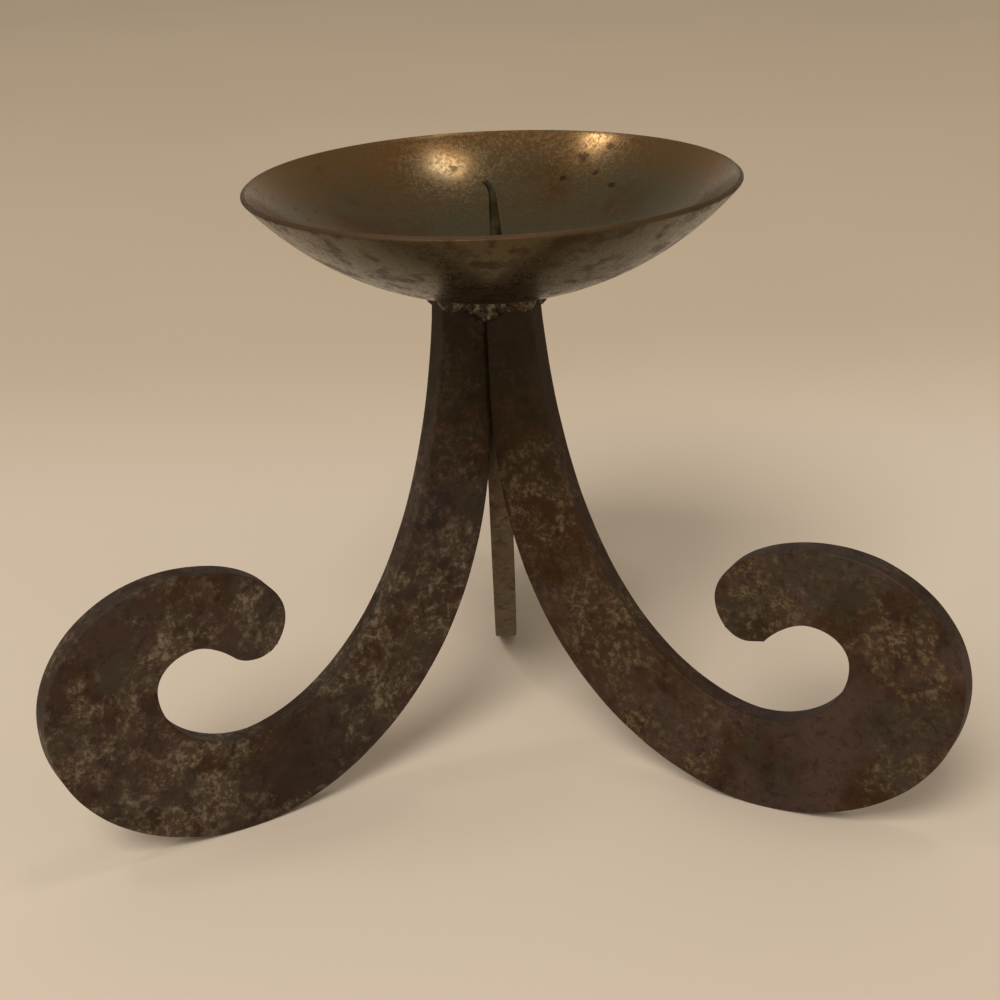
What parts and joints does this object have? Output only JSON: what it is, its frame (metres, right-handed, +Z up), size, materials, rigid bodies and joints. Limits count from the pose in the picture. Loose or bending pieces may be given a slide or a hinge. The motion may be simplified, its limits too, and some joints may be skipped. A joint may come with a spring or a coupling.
{
  "type": "candle holder",
  "caption": "Shallow steel dish with an upright spike for a ball candle, welded on scroll legs cut from steel plate.",
  "frame": {"origin": "on the surface that the holder stands on, in the middle of the legs, where the middle lines of the three plates' directions meet", "axes": "+Z up; +Y towards the rear leg, so that the seam between the two front legs faces -Y; +X to the right of a person who looks along +Y"},
  "size_m": [0.2298, 0.1998, 0.1611],
  "materials": {
    "dish_steel": "bare steel with a brown and olive patina, waxed to a low sheen",
    "spike_steel": "bare steel, dark olive, low sheen",
    "leg_steel": "rusted hot-rolled plate, dark brown with mottled grey and olive worn specks, nearly matt",
    "weld_steel": "rough weld metal, grey and brown"
  },
  "bodies": {
    "root": {"bowl": "dish_steel", "spike": "spike_steel", "leg_rear": "leg_steel", "leg_left": "leg_steel", "leg_right": "leg_steel", "weld_left": "weld_steel", "weld_front": "weld_steel", "weld_right": "weld_steel", "weld_spike": "weld_steel"}
  },
  "joints": []
}
